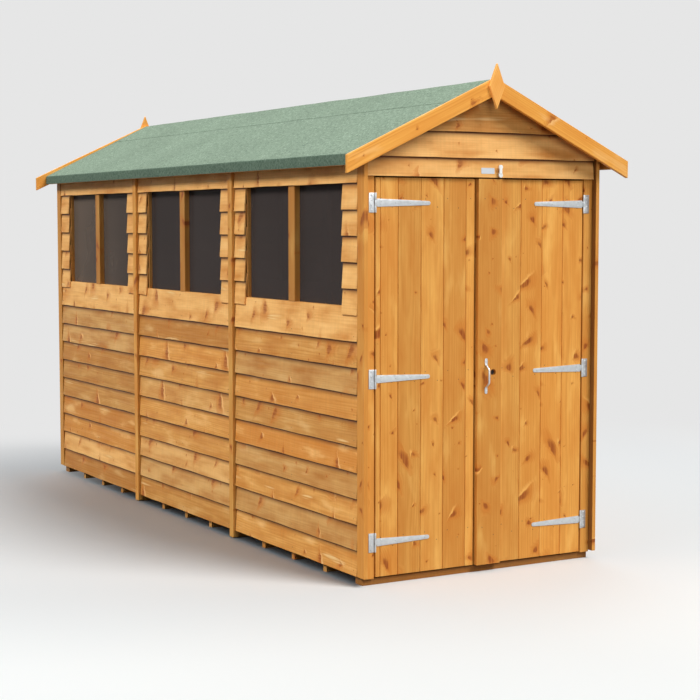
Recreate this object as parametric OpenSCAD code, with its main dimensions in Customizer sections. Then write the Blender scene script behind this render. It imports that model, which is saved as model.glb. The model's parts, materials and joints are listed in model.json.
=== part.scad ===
// Timber garden shed with lapped board walls, a felted apex roof, a row of
// fixed windows along its left side and two doors in its front gable.
// Millimetres. The origin is on the ground at the middle of the floor,
// the doors face -Y and the windows face -X.

/* [Floor] */
// Length of the floor, front to back
floor_len = 3600; // [2400:10:6000]
// Width of the floor, side to side
floor_w = 1164; // [1000:2:1600]
// Width of each inner bearer
bearer_w = 30; // [20:1:60]
// Width of the bearer under each end wall
end_bearer_w = 60; // [40:1:100]
// How far the end bearers lie behind the outer faces of the end frames
bearer_set = 14; // [0:1:20]
// Height of the bearers
bearer_h = 28; // [20:1:60]
// Most that two bearer centres may lie apart
bearer_pitch = 300; // [200:10:500]
// Thickness of the floor boards
deck_t = 10; // [8:1:20]

/* [Wall frames] */
// Thickness of the wall frames, and of the rails along the floor
frame_t = 28; // [24:1:45]
// Width of a single stud
stud_w = 28; // [24:1:40]
// Height of the upper rails and depth of the gable rafters
rail_h = 45; // [28:1:60]
// Width of the four end posts
post_w = 46; // [40:1:70]

/* [Cladding] */
// Thickness of a lapped board
board_t = 9; // [7:0.5:14]
// Full width of a lapped board
board_w = 143.4; // [125:0.2:170]
// Height that each course leaves showing
course_h = 108.4; // [90:0.2:120]
// Height of the lowest board edge above the ground
skirt_z = 36; // [28:1:70]
// Courses below the windows
sill_courses = 10; // [7:1:11]
// Courses of short boards beside the windows
window_courses = 5; // [3:1:7]
// Height of the top boards, from their lower edge to the roof
top_board_h = 137; // [100:1:160]
// Width of the strips over the joints between side panels
joint_w = 42; // [30:1:60]
// Thickness of the joint strips
joint_t = 28; // [20:1:38]
// Height of the joint strips' lower ends above the ground
joint_foot = 4; // [2:1:40]
// Width of the corner strips
corner_w = 58; // [45:1:90]
// Thickness of the corner strips
corner_t = 18; // [12:1:30]
// How far the corner strips stand out past the end frames
corner_proud = 28; // [20:1:35]

/* [Windows] */
// Width of a window between its jambs
window_w = 905; // [600:5:1200]
// Width of the short boards between a window and a joint strip
stub_w = 116.5; // [90:0.5:160]
// Width of the post in the middle of a window
mullion_w = 58; // [30:1:90]
// How far that post stands out past the face of the frame
mullion_proud = 10; // [0:1:14]
// Thickness of the glazing
pane_t = 3; // [2:0.5:6]
// How far the glazing lies behind the face of the frame
pane_setback = 17; // [10:1:24]

/* [Doors] */
// Gap round each door leaf
door_gap = 6; // [5:0.5:10]
// Distance from the roof at the wall head down to the door opening
head_drop = 109; // [60:1:120]
// Width of the part board at the meeting edge of the left leaf
leaf_part = 45; // [20:1:90]
// Thickness of the door boards
leaf_t = 12; // [10:1:20]
// Width of a door board between its joints
leaf_board = 112; // [90:1:140]
// Depth of the V joint between two door boards
groove_d = 2.5; // [1:0.5:4]
// Place of the meeting line, left of the middle when negative
meet_x = -38; // [-100:1:100]
// Width of the board down the meeting edge of the right leaf
meet_w = 121; // [100:1:140]
// Thickness of the meeting board
meet_t = 18; // [12:1:26]
// Width of the ledges and braces behind the leaves
ledge_w = 95; // [70:1:130]
// Thickness of the ledges and braces
ledge_t = 20; // [14:1:28]
// How far the ledges stop short of the leaf's edges
ledge_in = 26; // [20:1:60]
// Radius of the lock hole in the meeting board
lock_r = 13.5; // [8:0.5:20]
// Distance from the meeting edge to the lock hole
lock_in = 80; // [60:1:95]
// Height of the lock hole above the bottom of the leaf
lock_up = 829; // [600:1:1000]

/* [Hinges and handle] */
// Height of the fixed plate of a tee hinge
hinge_h = 80; // [60:1:110]
// Width of the fixed plate of a tee hinge
hinge_w = 25; // [18:1:34]
// Thickness of the hinge metal
hinge_t = 2.5; // [2:0.5:4]
// Radius of the hinge knuckles
knuckle_r = 4.5; // [4:0.5:7]
// Radius of the hinge pins
pin_r = 2; // [1.5:0.1:2.5]
// Length of the hinge straps
strap_len = 258; // [180:1:320]
// Height of a strap at its root
strap_root = 33; // [28:1:45]
// Height of a strap at its tip
strap_tip = 17; // [10:1:24]
// Distance from the top of the leaf to the top hinge
hinge_top = 103; // [80:1:250]
// Distance from the bottom of the leaf to the bottom hinge
hinge_low = 146; // [80:1:250]
// Distance from the meeting edge to the handle
handle_in = 43; // [30:1:52]
// Height of the handle's middle above the bottom of the leaf
handle_up = 814; // [600:1:1000]
// Distance between the handle's two legs
handle_span = 100; // [80:1:140]
// Radius of the handle's bar
handle_r = 4; // [3:0.5:6]
// Distance from the meeting board to the middle of the grip
handle_off = 24; // [20:1:40]
// Radius of the bends between the handle's legs and its grip
handle_bend = 10; // [6:0.5:14]
// Length of each foot of the handle, outwards from its leg
handle_foot = 30; // [22:1:45]
// Width of each foot of the handle
handle_foot_w = 14; // [10:0.5:20]
// Thickness of each foot of the handle
handle_foot_t = 2; // [1.5:0.5:4]

/* [Turn button] */
// Distance from the meeting line to the turn button's pivot
button_x = 108; // [100:1:160]
// Half the width of the turn button
button_r = 10; // [7:0.5:13]
// Distance between the centres of the button's two round ends
button_len = 34; // [24:1:50]
// Distance from the pivot to the centre of the short end
button_short = 6; // [3:0.5:10]
// Radius of the hub that the turn button swivels on
button_hub = 6; // [4:0.5:7]
// Half the width of the turn button's waist
button_waist = 7; // [5:0.5:7]
// Thickness of the turn button
button_t = 6; // [4:0.5:9]

/* [Roof] */
// Pitch of the roof in degrees
roof_pitch = 26; // [18:0.5:30]
// Thickness of the roof boards
roof_board_t = 10; // [8:1:18]
// Thickness of the felt
felt_t = 2.5; // [1.5:0.5:4]
// How far the roof stands out past the side frames
eave_past = 68; // [60:1:120]
// Thickness of the battens under the eaves
batten_t = 30; // [20:1:32]
// Height of the felt's fold down the eaves
felt_drop = 47; // [38:1:80]
// How far the roof stands out past the end frames
verge_past = 68; // [45:1:120]
// Width of the purlins
purlin_w = 34; // [24:1:50]
// Depth of the purlins
purlin_h = 45; // [30:1:70]
// Plumb height of the barge boards
barge_h = 74; // [60:1:110]
// Thickness of the barge boards
barge_t = 18; // [12:1:28]
// Height of the barge boards' peak above the felt
barge_up = 5; // [2:1:30]
// Height of the barge tips above the line of the felt
barge_tip_up = 19; // [8:1:30]
// How far the barge tips reach past the eaves
barge_past = 61; // [20:1:90]
// Width of the finials
finial_w = 76; // [50:1:110]
// Height of the finials
finial_h = 189; // [140:1:240]
// Thickness of the finials
finial_t = 14; // [12:1:28]
// How far a finial rises above the barge boards' peak
finial_up = 58; // [50:1:110]

/* [Hidden] */
$fn = 48;

timber = [0.84, 0.58, 0.29];
sawn = [0.78, 0.56, 0.33];
felt_green = [0.48, 0.60, 0.52];
zinc = [0.82, 0.84, 0.86];
fit = 0.3;       // running clearance at pins and seats
over = 1;        // how far a cut runs past a face
half_w = floor_w / 2;
half_l = floor_len / 2;
floor_z = bearer_h + deck_t;
frame_in = half_w - frame_t;
end_in = half_l - frame_t;
open_x = half_w - post_w;

// Wall heights follow from whole courses of boards
sill_z = course_z(sill_courses - 1) + board_w;
head_z = course_z(sill_courses + window_courses);
eave_h = head_z + top_board_h;
door_z = eave_h - head_drop;
plate_z = eave_h - rail_h;

// Side panels: each holds a window, and the end ones run on to the corners
strip_in = half_l + corner_proud - corner_w;
panel_len = window_w + 2 * stub_w + joint_w;
panels = floor(floor_len / panel_len);
joint_y = [for (i = [1:1:panels - 1]) (i - panels / 2) * panel_len];
window_y = [for (i = [0:panels - 1]) (i - (panels - 1) / 2) * panel_len];
bays = spans(strip_in, joint_w / 2);
stud_bays = spans(end_in - stud_w, stud_w);

// Roof lines at a distance x from the ridge
rise = tan(roof_pitch);
roof_v = roof_board_t / cos(roof_pitch);
felt_v = felt_t / cos(roof_pitch);
eave_x = half_w + eave_past;
roof_y = half_l + verge_past;
drop_z = felt_top(eave_x) - felt_drop;
barge_x = eave_x + barge_past;

// Door leaves
leaf_low = bearer_h + door_gap;
leaf_high = door_z - door_gap;
leaf_mid = (leaf_low + leaf_high) / 2;
left_leaf = [-open_x + door_gap, meet_x - door_gap / 2];
right_leaf = [meet_x + door_gap / 2, open_x - door_gap];
hinge_z = [leaf_low + hinge_low, leaf_mid, leaf_high - hinge_top];
hinge_x = open_x - door_gap / 2;
hinge_y = -half_l - knuckle_r;
knuckle_h = strap_root - 2 * knuckle_r;
button_z = door_z + button_r + button_short;

// Stretches of a side between its ends and what stands at its joints
function spans(end, half) =
    let (starts = concat([-end], [for (y = joint_y) y + half]),
         stops = concat([for (y = joint_y) y - half], [end]))
    [for (i = [0:panels - 1]) [starts[i], stops[i]]];
// Bottom edge of a course of boards
function course_z(k) = skirt_z + k * course_h;
// Outer face of a leaning board, measured from the frame
function lap_face(up) = 2 * board_t - board_t * up / board_w;
// Line of the wall heads, rafters and purlins that carry the roof
function under(x) = eave_h + rise * (half_w - abs(x));
// Underside and top of the roof boards, and top of the felt
function boards_low(x) = under(x) + fit;
function boards_top(x) = boards_low(x) + roof_v;
function felt_top(x) = boards_top(x) + felt_v;
// Outer line of the courses first to last, the last one ending at top
function lap_steps(first, last, top) =
    [for (k = [first:last])
        let (low = course_z(k), high = k == last ? top : course_z(k + 1))
        each [[lap_face(0), low], [lap_face(high - low), high]]];

// Extrude an X-Z outline from y0 to y1
module along_y(y0, y1) {
    rotate([90, 0, 0])
        translate([0, 0, -y1])
            linear_extrude(y1 - y0) children();
}

// Extrude a Y-Z outline from x0 to x1
module along_x(x0, x1) {
    rotate([90, 0, 90])
        translate([0, 0, x0])
            linear_extrude(x1 - x0) children();
}

// Box between two corners
module block(low, high) {
    translate(low) cube(high - low);
}

// Copies on both ends of the shed
module both_ends() {
    children();
    mirror([0, 1, 0]) children();
}

// Copies on both sides of the shed
module both_sides() {
    children();
    mirror([1, 0, 0]) children();
}

module floor_bearers() {
    run = floor_len - 2 * bearer_set - end_bearer_w;
    gaps = ceil(run / bearer_pitch);
    color(sawn)
        for (i = [0:gaps]) {
            y = run * (i / gaps - 1 / 2);
            w = i == 0 || i == gaps ? end_bearer_w : bearer_w;
            block([-half_w, y - w / 2, 0], [half_w, y + w / 2, bearer_h]);
        }
}

module floor_deck() {
    color(sawn)
        block([-half_w, -end_in, bearer_h], [half_w, end_in, floor_z]);
}

// Lapped boards from the skirt up to the window sills, on the right side
module lower_profile() {
    polygon(concat([[0, skirt_z]],
                   lap_steps(0, sill_courses - 1, sill_z),
                   [[0, sill_z]]));
}

// Short boards beside a window, lapped over the sill board
module stub_profile() {
    last = sill_courses + window_courses - 1;
    polygon(concat([[lap_face(course_h), course_z(sill_courses)]],
                   lap_steps(sill_courses, last, head_z),
                   [[0, head_z], [0, sill_z], [board_t, sill_z]]));
}

// Top board, cut to the slope of the roof
module top_profile() {
    face = lap_face(top_board_h);
    polygon([[0, head_z], [lap_face(0), head_z],
             [face, eave_h - rise * face], [0, eave_h]]);
}

// Lapped boards over the whole height of a plain side
module plain_profile() {
    last = sill_courses + window_courses;
    face = lap_face(top_board_h);
    polygon(concat([[0, skirt_z]],
                   lap_steps(0, last - 1, head_z),
                   [[lap_face(0), head_z], [face, eave_h - rise * face],
                    [0, eave_h]]));
}

module right_cladding() {
    color(timber)
        for (bay = bays)
            translate([half_w, 0, 0])
                along_y(bay[0], bay[1]) plain_profile();
}

module left_lower_cladding() {
    color(timber)
        for (bay = bays)
            mirror([1, 0, 0]) translate([half_w, 0, 0])
                along_y(bay[0], bay[1]) lower_profile();
}

module left_window_stubs() {
    color(timber)
        for (i = [0:panels - 1])
            mirror([1, 0, 0]) translate([half_w, 0, 0]) {
                along_y(bays[i][0], window_y[i] - window_w / 2)
                    stub_profile();
                along_y(window_y[i] + window_w / 2, bays[i][1])
                    stub_profile();
            }
}

module left_top_boards() {
    color(timber)
        for (bay = bays)
            mirror([1, 0, 0]) translate([half_w, 0, 0])
                along_y(bay[0], bay[1]) top_profile();
}

// Outline of a full-height stud, its top cut to the roof
module stud_profile() {
    polygon([[frame_in, floor_z], [half_w, floor_z], [half_w, eave_h],
             [frame_in, under(frame_in)]]);
}

// Studs at the corners and at the joints between panels
module panel_studs() {
    both_ends()
        along_y(end_in - stud_w, end_in) stud_profile();
    for (y = joint_y)
        along_y(y - stud_w, y + stud_w) stud_profile();
}

// Rails along the floor and under the roof, between the panel studs
module panel_rails() {
    for (bay = stud_bays) {
        block([frame_in, bay[0], floor_z],
              [half_w, bay[1], floor_z + frame_t]);
        along_y(bay[0], bay[1])
            polygon([[frame_in, plate_z], [half_w, plate_z],
                     [half_w, eave_h], [frame_in, under(frame_in)]]);
    }
}

module left_studs() {
    color(sawn) mirror([1, 0, 0]) {
        panel_studs();
        for (y = window_y, side = [-1, 1]) {
            jamb = y + side * (window_w + stud_w) / 2;
            block([frame_in, jamb - stud_w / 2, floor_z + frame_t],
                  [half_w, jamb + stud_w / 2, plate_z]);
        }
    }
}

module left_rails() {
    color(sawn) mirror([1, 0, 0]) {
        panel_rails();
        for (y = window_y)
            block([frame_in, y - window_w / 2, sill_z - rail_h],
                  [half_w, y + window_w / 2, sill_z]);
    }
}

// Window posts from the sill boards up to the top rail
module window_mullions() {
    proud = -half_w - mullion_proud;
    color(timber)
        for (y = window_y)
            along_y(y - mullion_w / 2, y + mullion_w / 2)
                polygon([[-frame_in, sill_z], [-frame_in, plate_z],
                         [-half_w, plate_z], [-half_w, head_z],
                         [proud, head_z], [proud, sill_z]]);
}

module window_panes() {
    face = -half_w + pane_setback;
    color([0.25, 0.24, 0.24, 0.6])
        for (y = window_y, side = [-1, 1]) {
            edges = [y + side * mullion_w / 2, y + side * window_w / 2];
            block([face, min(edges), sill_z],
                  [face + pane_t, max(edges), plate_z]);
        }
}

module right_studs() {
    color(sawn) {
        panel_studs();
        for (bay = stud_bays) {
            y = (bay[0] + bay[1]) / 2;
            block([frame_in, y - stud_w / 2, floor_z + frame_t],
                  [half_w, y + stud_w / 2, plate_z]);
        }
    }
}

module right_rails() {
    color(sawn) {
        panel_rails();
        for (bay = stud_bays) {
            y = (bay[0] + bay[1]) / 2;
            block([frame_in, bay[0], sill_z - rail_h],
                  [half_w, y - stud_w / 2, sill_z]);
            block([frame_in, y + stud_w / 2, sill_z - rail_h],
                  [half_w, bay[1], sill_z]);
        }
    }
}

// Strip up the side of the shed with its top cut to the roof
module side_strip(y0, y1, low, thick) {
    along_y(y0, y1)
        polygon([[half_w, low], [half_w + thick, low],
                 [half_w + thick, under(half_w + thick)],
                 [half_w, eave_h]]);
}

module right_joint_strips() {
    color(timber)
        for (y = joint_y)
            side_strip(y - joint_w / 2, y + joint_w / 2,
                       joint_foot, joint_t);
}

module left_joint_strips() {
    mirror([1, 0, 0]) right_joint_strips();
}

module corner_strips() {
    color(timber) both_ends() both_sides()
        side_strip(strip_in, strip_in + corner_w, skirt_z, corner_t);
}

// Lapped boards of a gable above height low, cut to the roof's outline
module gable_cladding(low) {
    peak = under(0);
    last = ceil((peak - skirt_z) / course_h) - 1;
    intersection() {
        along_x(-half_w, half_w)
            translate([half_l, 0])
                polygon(concat([[0, skirt_z]], lap_steps(0, last, peak),
                               [[0, peak]]));
        along_y(half_l - over, half_l + 2 * board_t + over)
            polygon([[-half_w, low], [half_w, low], [half_w, eave_h],
                     [0, peak], [-half_w, eave_h]]);
    }
}

module back_cladding() {
    color(timber) gable_cladding(skirt_z);
}

module front_gable_cladding() {
    color(timber) mirror([0, 1, 0]) gable_cladding(door_z);
}

// Pair of end posts that carry the gable rafters
module end_posts() {
    both_sides() along_y(end_in, half_l)
        polygon([[open_x, bearer_h], [half_w, bearer_h],
                 [half_w, under(half_w) - rail_h],
                 [open_x, under(open_x) - rail_h]]);
}

module back_posts() {
    color(sawn) end_posts();
}

module door_posts() {
    color(timber) mirror([0, 1, 0]) end_posts();
}

// Rail across the head of an end frame
module head_rail() {
    block([-open_x, end_in, door_z], [open_x, half_l, door_z + rail_h]);
}

module door_head() {
    color(sawn) mirror([0, 1, 0]) head_rail();
}

module back_stud() {
    color(sawn)
        block([-stud_w, end_in, bearer_h + frame_t],
              [stud_w, half_l, door_z]);
}

module back_rails() {
    color(sawn) {
        head_rail();
        block([-open_x, end_in, bearer_h],
              [open_x, half_l, bearer_h + frame_t]);
        both_sides()
            block([stud_w, end_in, sill_z - rail_h],
                  [open_x, half_l, sill_z]);
    }
}

// Rafters that close the end frames under the right slope of the roof
module right_gable_rafters() {
    color(sawn) both_ends()
        along_y(end_in, half_l)
            polygon([[0, under(0) - rail_h],
                     [half_w, under(half_w) - rail_h],
                     [half_w, under(half_w)], [0, under(0)]]);
}

module left_gable_rafters() {
    mirror([1, 0, 0]) right_gable_rafters();
}

module right_roof_boards() {
    color(sawn)
        along_y(-roof_y, roof_y)
            polygon([[0, boards_low(0)], [eave_x, boards_low(eave_x)],
                     [eave_x, boards_top(eave_x)], [0, boards_top(0)]]);
}

module left_roof_boards() {
    mirror([1, 0, 0]) right_roof_boards();
}

module roof_purlins() {
    near = (half_w - purlin_w) / 2;
    far = near + purlin_w;
    color(sawn) both_sides()
        along_y(-end_in, end_in)
            polygon([[near, under(far) - purlin_h],
                     [far, under(far) - purlin_h],
                     [far, under(far)], [near, under(near)]]);
}

module eave_battens() {
    inner = eave_x - batten_t;
    color(sawn) both_sides()
        along_y(-roof_y, roof_y)
            polygon([[inner, drop_z], [eave_x, drop_z],
                     [eave_x, under(eave_x)], [inner, under(inner)]]);
}

// One sheet folded over the ridge and down both eaves
module roof_felt() {
    edge = eave_x + felt_t;
    outer = [[0, felt_top(0)], [edge, felt_top(edge)], [edge, drop_z],
             [eave_x, drop_z], [eave_x, boards_top(eave_x)]];
    color(felt_green)
        along_y(-roof_y, roof_y)
            polygon(concat(outer, [[0, boards_top(0)]],
                           [for (i = [4:-1:1]) [-outer[i][0], outer[i][1]]]));
}

module right_barge_boards() {
    peak = felt_top(0) + barge_up;
    tip = felt_top(barge_x) + barge_tip_up;
    color(timber) both_ends()
        along_y(roof_y, roof_y + barge_t)
            polygon([[0, peak - barge_h], [barge_x, tip - barge_h],
                     [barge_x, tip], [0, peak]]);
}

module left_barge_boards() {
    mirror([1, 0, 0]) right_barge_boards();
}

// Flat pointed boards over the joint of the barge boards
module finials() {
    top = felt_top(0) + barge_up + finial_up;
    color(timber) both_ends()
        along_y(roof_y + barge_t, roof_y + barge_t + finial_t)
            polygon([[0, top], [-finial_w / 2, top - finial_h / 2],
                     [0, top - finial_h], [finial_w / 2, top - finial_h / 2]]);
}

// Fixed half of a tee hinge: plate, two outer knuckles and the pin
module hinge_plate(z) {
    outer_h = (hinge_h - knuckle_h) / 2 - fit;
    translate([hinge_x, hinge_y, z - hinge_h / 2]) {
        translate([knuckle_r + fit, knuckle_r - hinge_t, 0])
            cube([hinge_w, hinge_t, hinge_h]);
        for (low = [0, hinge_h - outer_h])
            translate([0, 0, low]) {
                cylinder(r = knuckle_r, h = outer_h);
                translate([0, knuckle_r - hinge_t, 0])
                    cube([knuckle_r + fit + over, hinge_t, outer_h]);
            }
        cylinder(r = pin_r, h = hinge_h);
    }
}

module hinge_plates() {
    color(zinc) both_sides()
        for (z = hinge_z) hinge_plate(z);
}

// Moving half of a tee hinge on the right leaf: knuckle and tapered strap
module hinge_strap(z) {
    root = -2 * knuckle_r;
    translate([hinge_x, hinge_y, z])
        difference() {
            union() {
                translate([0, 0, -knuckle_h / 2])
                    cylinder(r = knuckle_r, h = knuckle_h);
                along_y(knuckle_r - hinge_t, knuckle_r) {
                    polygon([[0, -knuckle_h / 2], [0, knuckle_h / 2],
                             [root, knuckle_h / 2], [root, strap_root / 2],
                             [-strap_len, strap_tip / 2],
                             [-strap_len, -strap_tip / 2],
                             [root, -strap_root / 2], [root, -knuckle_h / 2]]);
                    translate([-strap_len, 0]) circle(d = strap_tip);
                }
            }
            translate([0, 0, -knuckle_h / 2 - over])
                cylinder(r = pin_r + fit, h = knuckle_h + 2 * over);
        }
}

module right_hinge_straps() {
    color(zinc) for (z = hinge_z) hinge_strap(z);
}

module left_hinge_straps() {
    mirror([1, 0, 0]) right_hinge_straps();
}

// Boards of a leaf with V joints, the first one at x = joint
module leaf_boards(leaf, joint) {
    count = floor((leaf[1] - joint - groove_d) / leaf_board);
    face = -half_l;
    back = face + leaf_t;
    translate([0, 0, leaf_low])
        linear_extrude(leaf_high - leaf_low)
            polygon(concat([[leaf[0], back], [leaf[0], face]],
                [for (i = [0:count])
                    let (x = joint + i * leaf_board)
                    each [[x - groove_d, face], [x, face + groove_d],
                          [x + groove_d, face]]],
                [[leaf[1], face], [leaf[1], back]]));
}

// First joint of a row that ends a part board from the far edge
function first_joint(leaf, last) =
    last - leaf_board * floor((last - leaf[0] - groove_d) / leaf_board);

module left_door_boards() {
    last = left_leaf[1] - leaf_part;
    color(timber) leaf_boards(left_leaf, first_joint(left_leaf, last));
}

module right_door_boards() {
    color(timber)
        leaf_boards(right_leaf, right_leaf[0] + meet_w + leaf_board);
}

// Ledges across the back of a leaf, level with its hinges
module leaf_ledges(leaf) {
    back = -half_l + leaf_t;
    color(sawn)
        for (z = hinge_z)
            block([leaf[0] + ledge_in, back, z - ledge_w / 2],
                  [leaf[1] - ledge_in, back + ledge_t, z + ledge_w / 2]);
}

// Braces that rise from the hinge side, between the ledges
module leaf_braces(leaf, hinge_side) {
    back = -half_l + leaf_t;
    low_x = hinge_side < 0 ? leaf[0] + ledge_in : leaf[1] - ledge_in;
    high_x = hinge_side < 0 ? leaf[1] - ledge_in : leaf[0] + ledge_in;
    color(sawn)
        for (i = [0:1]) {
            low = hinge_z[i] + ledge_w / 2;
            high = hinge_z[i + 1] - ledge_w / 2;
            along_y(back, back + ledge_t)
                polygon([[low_x, low], [low_x - hinge_side * ledge_w, low],
                         [high_x, high],
                         [high_x + hinge_side * ledge_w, high]]);
        }
}

module left_door_ledges() {
    leaf_ledges(left_leaf);
}

module right_door_ledges() {
    leaf_ledges(right_leaf);
}

module left_door_braces() {
    leaf_braces(left_leaf, -1);
}

module right_door_braces() {
    leaf_braces(right_leaf, 1);
}

// Board down the meeting edge, with the hole for a lock
module meeting_board() {
    x = right_leaf[0];
    color(timber)
        difference() {
            block([x, -half_l - meet_t, leaf_low],
                  [x + meet_w, -half_l, leaf_high]);
            translate([x + lock_in, -half_l + over, leaf_low + lock_up])
                rotate([90, 0, 0])
                    cylinder(r = lock_r, h = meet_t + 2 * over);
        }
}

// Foot of the handle: a flat tongue with a round end
module handle_foot_outline() {
    round = handle_foot_w / 2;
    tail = handle_foot - handle_r - round;
    translate([-round, -handle_r]) square([handle_foot_w, handle_r + tail]);
    translate([0, tail]) circle(r = round);
}

// Bow handle: two feet, two legs, two bends and a straight grip
module door_handle() {
    reach = handle_off - handle_bend;
    legs = handle_span / 2;
    color(zinc)
        translate([right_leaf[0] + handle_in, -half_l - meet_t,
                   leaf_low + handle_up]) {
            for (end = [-1, 1])
                mirror([0, 0, end < 0 ? 1 : 0])
                    translate([0, 0, legs]) {
                        along_y(-handle_foot_t, 0) handle_foot_outline();
                        rotate([90, 0, 0]) cylinder(r = handle_r, h = reach);
                        translate([0, -reach, -handle_bend])
                            rotate([0, -90, 0]) rotate([0, 0, -90])
                                rotate_extrude(angle = 90)
                                    translate([handle_bend, 0])
                                        circle(r = handle_r);
                    }
            translate([0, -handle_off, handle_bend - legs])
                cylinder(r = handle_r, h = 2 * (legs - handle_bend));
        }
}

// Two-lobed button that turns down over the top of the right leaf
module turn_button() {
    board = half_l + lap_face(button_z - button_hub - head_z) + fit;
    face = half_l + meet_t + door_gap;
    color("white")
        translate([meet_x + button_x, 0, button_z]) {
            along_y(-face - button_t, -face) {
                translate([0, -button_short]) circle(r = button_r);
                translate([0, button_len - button_short])
                    circle(r = button_r);
                translate([-button_waist, -button_short])
                    square([2 * button_waist, button_len]);
            }
            along_y(-face, -board) circle(r = button_hub);
        }
}

floor_bearers();
floor_deck();
left_lower_cladding();
left_window_stubs();
left_top_boards();
left_studs();
left_rails();
window_mullions();
window_panes();
left_joint_strips();
right_cladding();
right_studs();
right_rails();
right_joint_strips();
back_cladding();
back_posts();
back_stud();
back_rails();
door_posts();
door_head();
front_gable_cladding();
corner_strips();
left_gable_rafters();
right_gable_rafters();
left_roof_boards();
right_roof_boards();
roof_purlins();
eave_battens();
roof_felt();
left_barge_boards();
right_barge_boards();
finials();
hinge_plates();
left_door_boards();
left_door_ledges();
left_door_braces();
left_hinge_straps();
right_door_boards();
right_door_ledges();
right_door_braces();
right_hinge_straps();
meeting_board();
door_handle();
turn_button();
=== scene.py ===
"""Dress the timber garden shed: boards, felt, glazing and ironmongery, and a plain stage."""
import json
import math
import random
from functools import partial

import bmesh
import bpy
from bpy.props import FloatProperty, FloatVectorProperty, PointerProperty
from mathutils import Matrix, Vector, noise


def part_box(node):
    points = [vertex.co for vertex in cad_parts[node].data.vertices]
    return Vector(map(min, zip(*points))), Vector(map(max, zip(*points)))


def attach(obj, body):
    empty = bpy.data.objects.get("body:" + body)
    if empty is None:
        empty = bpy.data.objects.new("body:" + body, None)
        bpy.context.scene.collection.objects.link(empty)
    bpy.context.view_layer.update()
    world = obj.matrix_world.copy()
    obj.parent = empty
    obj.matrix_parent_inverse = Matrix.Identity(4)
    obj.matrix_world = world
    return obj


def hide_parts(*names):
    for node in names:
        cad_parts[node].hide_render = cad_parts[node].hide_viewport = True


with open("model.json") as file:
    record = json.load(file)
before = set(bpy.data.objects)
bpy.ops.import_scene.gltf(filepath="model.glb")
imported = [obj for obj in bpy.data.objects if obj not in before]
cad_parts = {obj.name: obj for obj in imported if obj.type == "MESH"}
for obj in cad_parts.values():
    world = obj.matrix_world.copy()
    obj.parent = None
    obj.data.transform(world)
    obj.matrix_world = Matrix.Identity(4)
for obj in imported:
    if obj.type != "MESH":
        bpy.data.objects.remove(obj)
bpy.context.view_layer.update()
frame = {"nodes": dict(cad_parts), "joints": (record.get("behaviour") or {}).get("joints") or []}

bl_info = {
    "name": "Timber Shed Dressing",
    "version": (1, 0, 0),
    "blender": (4, 5, 0),
    "location": "3D View > Sidebar > Shed",
    "description": "Lays the boards, felt and fittings of a timber garden shed over its frame",
    "category": "Object",
}

MM = 0.001
UP = Vector((0, 0, 1))
ALONG = Vector((0, 1, 0))
WELD = 0.01 * MM
# Of several equal edges, the one that starts furthest this way, in front or behind, gives a timber its grain
TIES = (Vector((-1, 0, 0.3)), Vector((1, 0, -1)))
FLAT = math.radians(1)
SHARP = math.radians(32)
# Value of a timber's lap attribute where the board above it ends, and how far below that line shade is
# painted
LAP_AT = 200 * MM
LAP_REACH = 30 * MM
# Tones of a board that took up little stain, a middling share and much
PALE = 0.93
EVEN = 0.605
DEEP = 0.05
# Values between which most of a noise lies
MOST = (0.3, 0.7)

# The end posts carry the four walls, and the wall heads carry the roof
LEFT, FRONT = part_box("door_posts")[0].xy
RIGHT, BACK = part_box("back_posts")[1].xy
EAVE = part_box("corner_strips")[1].z
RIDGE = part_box("left_gable_rafters")[1].z
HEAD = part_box("left_top_boards")[0].z
RISE = (RIDGE - EAVE) / RIGHT
PITCH = math.atan(RISE)
# Outward normal of each wall and its distance from the middle
WALLS = {"left": (Vector((-1, 0, 0)), -LEFT), "right": (Vector((1, 0, 0)), RIGHT),
         "front": (Vector((0, -1, 0)), -FRONT), "back": (Vector((0, 1, 0)), BACK)}
OUT = WALLS["front"][0]


def linear(value):
    """Linear RGBA of an sRGB hex value."""
    parts = [(value >> shift & 255) / 255 for shift in (16, 8, 0)]
    return [c / 12.92 if c <= 0.04045 else ((c + 0.055) / 1.055) ** 2.4 for c in parts] + [1.0]


def size(name, description, millimetres):
    """Length property given in millimetres."""
    return FloatProperty(name=name, description=description, default=millimetres * MM,
                         min=0.0, unit="LENGTH", subtype="DISTANCE", precision=4)


def colour(name, description, value):
    """Colour property given as an sRGB hex value."""
    return FloatVectorProperty(name=name, description=description, default=linear(value),
                               size=4, min=0.0, max=1.0, subtype="COLOR")


def amount(name, description, default):
    """Property that is a plain number, such as a lamp's strength."""
    return FloatProperty(name=name, description=description, default=default, min=0.0)


def angle(name, description, degrees):
    """Angle property given in degrees."""
    return FloatProperty(name=name, description=description, default=math.radians(degrees),
                         unit="ROTATION", subtype="ANGLE")


def place(name, description, metres):
    """Property for a point, or a pair of distances, given in metres."""
    return FloatVectorProperty(name=name, description=description, default=metres, size=len(metres),
                               unit="LENGTH")


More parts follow.
